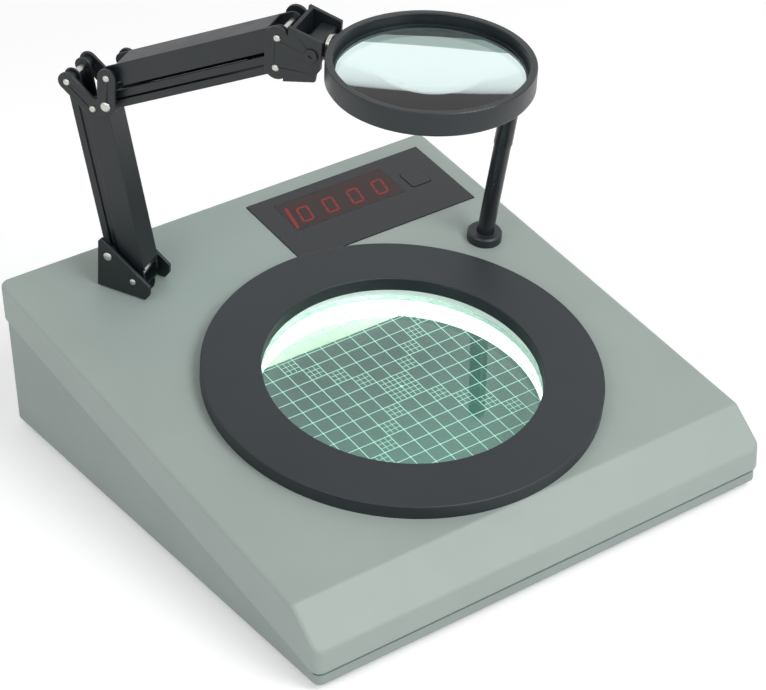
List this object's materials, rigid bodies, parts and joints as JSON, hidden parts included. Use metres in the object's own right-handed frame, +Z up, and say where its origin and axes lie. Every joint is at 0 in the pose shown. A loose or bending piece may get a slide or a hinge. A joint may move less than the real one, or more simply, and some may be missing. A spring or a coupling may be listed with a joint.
{
  "type": "colony counter",
  "caption": "Desk colony counter: sloping case with a lit dish well under a ruled glass plate, a red digital display, a sprung magnifier arm and a marker pen.",
  "frame": {"origin": "on the bench under the middle of the case", "axes": "+Z up, +Y towards the back panel, +X to the operator's right"},
  "size_m": [0.302, 0.32, 0.2866],
  "materials": {
    "case_green": "fine satin moulding, grey green",
    "case_base": "fine satin moulding, grey green",
    "bezel_black": "satin black moulding",
    "rubber_black": "soft black rubber",
    "screw_steel": "zinc plated",
    "pan_sheet": "white enamel",
    "opal_plastic": "opal white, lit from behind",
    "dark_gloss": "dark teal gloss",
    "clear_glass": "polished float glass",
    "lens_glass": "polished optical glass",
    "lamp_glass": "phosphor coated tube",
    "cap_plastic": "ivory moulding",
    "spring_steel": "bright spring wire",
    "switch_black": "gloss black moulding",
    "panel_black": "gloss black film",
    "filter_red": "dark red filter",
    "led_red": "lit red strokes",
    "board_green": "solder masked laminate",
    "component_dark": "moulded component bodies",
    "lamination": "varnished steel stack",
    "key_black": "satin black key",
    "arm_black": "satin black enamel",
    "zinc": "bright zinc plate",
    "bush_brass": "turned brass",
    "galv": "galvanised sheet",
    "lens_black": "satin black moulding",
    "pen_grey": "gloss dark grey",
    "pen_cap_black": "gloss black",
    "inlet_black": "black moulding"
  },
  "bodies": {
    "case": {"base_tray": "case_base", "rubber_feet": "rubber_black", "base_screws": "screw_steel", "top_cover": "case_green", "bezel_ring": "bezel_black", "light_pan": "pan_sheet", "bezel_screws": "screw_steel", "dark_plate": "dark_gloss", "diffuser_wall": "opal_plastic", "ring_lamp": "lamp_glass", "lamp_cap": "cap_plastic", "lamp_clips": "spring_steel", "carrier_springs": "spring_steel", "count_switch": "switch_black", "display_panel": "panel_black", "display_window": "filter_red", "display_module": "component_dark", "display_digits": "led_red", "display_board": "board_green", "display_screws": "screw_steel", "key_switch": "switch_black", "swivel_bush": "bush_brass", "arm_doubler": "galv", "pen_holder": "bezel_black", "power_inlet": "inlet_black", "inlet_pins": "zinc", "fuse_holder": "inlet_black", "switch_frame": "inlet_black", "ballast": "lamination", "main_board": "board_green", "board_components": "component_dark"},
    "arm_foot": {"base_bracket": "arm_black", "swivel_bolt": "zinc", "base_pins": "zinc", "base_sleeves": "zinc"},
    "lower_rear": {"lower_rear_link": "arm_black", "lower_spring": "spring_steel"},
    "lower_front": {"lower_front_link": "arm_black"},
    "elbow": {"elbow_plates": "arm_black", "elbow_pins": "zinc", "elbow_sleeves": "zinc"},
    "upper_top": {"upper_top_link": "arm_black"},
    "upper_low": {"upper_low_link": "arm_black", "upper_spring": "spring_steel"},
    "head": {"head_bracket": "arm_black", "head_pins": "zinc", "head_sleeves": "zinc", "tilt_screws": "zinc"},
    "tilt_knuckle": {"tilt_block": "arm_black"},
    "magnifier": {"lens_ring": "lens_black", "stem_collar": "zinc", "stem_nut": "zinc", "lens": "lens_glass", "lens_retainer": "lens_black"},
    "dish_stage": {"plate_carrier": "opal_plastic", "glass_plate": "clear_glass"},
    "reset": {"reset_key": "key_black"},
    "rocker": {"power_rocker": "switch_black"},
    "pen": {"pen_barrel": "pen_grey"},
    "cap": {"pen_cap": "pen_cap_black"}
  },
  "joints": [
    {"name": "arm_swivel", "type": "hinge", "parent": "case", "child": "arm_foot", "pos_m": [-0.0837, 0.1199, 0.09044], "axis": [0, -0.1711, 0.9853], "range_deg": [-60, 60]},
    {"name": "lower_arm_lift", "type": "hinge", "parent": "arm_foot", "child": "lower_rear", "pos_m": [-0.08899, 0.12478, 0.11463], "axis": [-0.8607, -0.5015, -0.0871], "range_deg": [-45, 3]},
    {"name": "lower_front_follow", "type": "hinge", "parent": "arm_foot", "child": "lower_front", "pos_m": [-0.0807, 0.11307, 0.10011], "axis": [-0.8607, -0.5015, -0.0871], "range_deg": [-45, 3]},
    {"name": "elbow_follow", "type": "hinge", "parent": "lower_rear", "child": "elbow", "pos_m": [-0.10234, 0.12805, 0.2278], "axis": [-0.8607, -0.5015, -0.0871], "range_deg": [-3, 45]},
    {"name": "upper_arm_lift", "type": "hinge", "parent": "elbow", "child": "upper_top", "pos_m": [-0.08987, 0.10551, 0.23434], "axis": [-0.8607, -0.5015, -0.0871], "range_deg": [-45, 18]},
    {"name": "upper_low_follow", "type": "hinge", "parent": "elbow", "child": "upper_low", "pos_m": [-0.08987, 0.10864, 0.21631], "axis": [-0.8607, -0.5015, -0.0871], "range_deg": [-45, 18]},
    {"name": "head_follow", "type": "hinge", "parent": "upper_top", "child": "head", "pos_m": [-0.03897, 0.01064, 0.27753], "axis": [-0.8607, -0.5015, -0.0871], "range_deg": [-18, 45]},
    {"name": "lens_tilt", "type": "hinge", "parent": "head", "child": "tilt_knuckle", "pos_m": [-0.02894, -0.00533, 0.2704], "axis": [-0.8607, -0.5015, -0.0871], "range_deg": [-15, 15]},
    {"name": "lens_roll", "type": "hinge", "parent": "tilt_knuckle", "child": "magnifier", "pos_m": [-0.02894, -0.00533, 0.2704], "axis": [0.5081, -0.8569, -0.0868], "range_deg": [-15, 15]},
    {"name": "dish_press", "type": "slide", "parent": "case", "child": "dish_stage", "axis": [0, 0.1711, -0.9853], "range_m": [0, 0.0006], "stiffness_N_per_m": 4000, "springref_m": -0.001},
    {"name": "reset_press", "type": "slide", "parent": "case", "child": "reset", "axis": [0, 0.1711, -0.9853], "range_m": [0, 0.0005], "stiffness_N_per_m": 1200, "springref_m": -0.0006},
    {"name": "power_rock", "type": "hinge", "parent": "case", "child": "rocker", "pos_m": [0.045, 0.1505, 0.031], "axis": [1, 0, 0], "range_deg": [-16, 0]},
    {"name": "pen_lift", "type": "slide", "parent": "case", "child": "pen", "axis": [0.0872, -0.1704, 0.9815], "range_m": [0, 0.06]},
    {"name": "cap_pull", "type": "slide", "parent": "pen", "child": "cap", "axis": [0.0872, -0.1704, 0.9815], "range_m": [0, 0.03]}
  ],
  "couplings": [
    {"joint": "lower_front_follow", "follows": "lower_arm_lift", "ratio": 1},
    {"joint": "elbow_follow", "follows": "lower_arm_lift", "ratio": -1},
    {"joint": "upper_low_follow", "follows": "upper_arm_lift", "ratio": 1},
    {"joint": "head_follow", "follows": "upper_arm_lift", "ratio": -1}
  ]
}
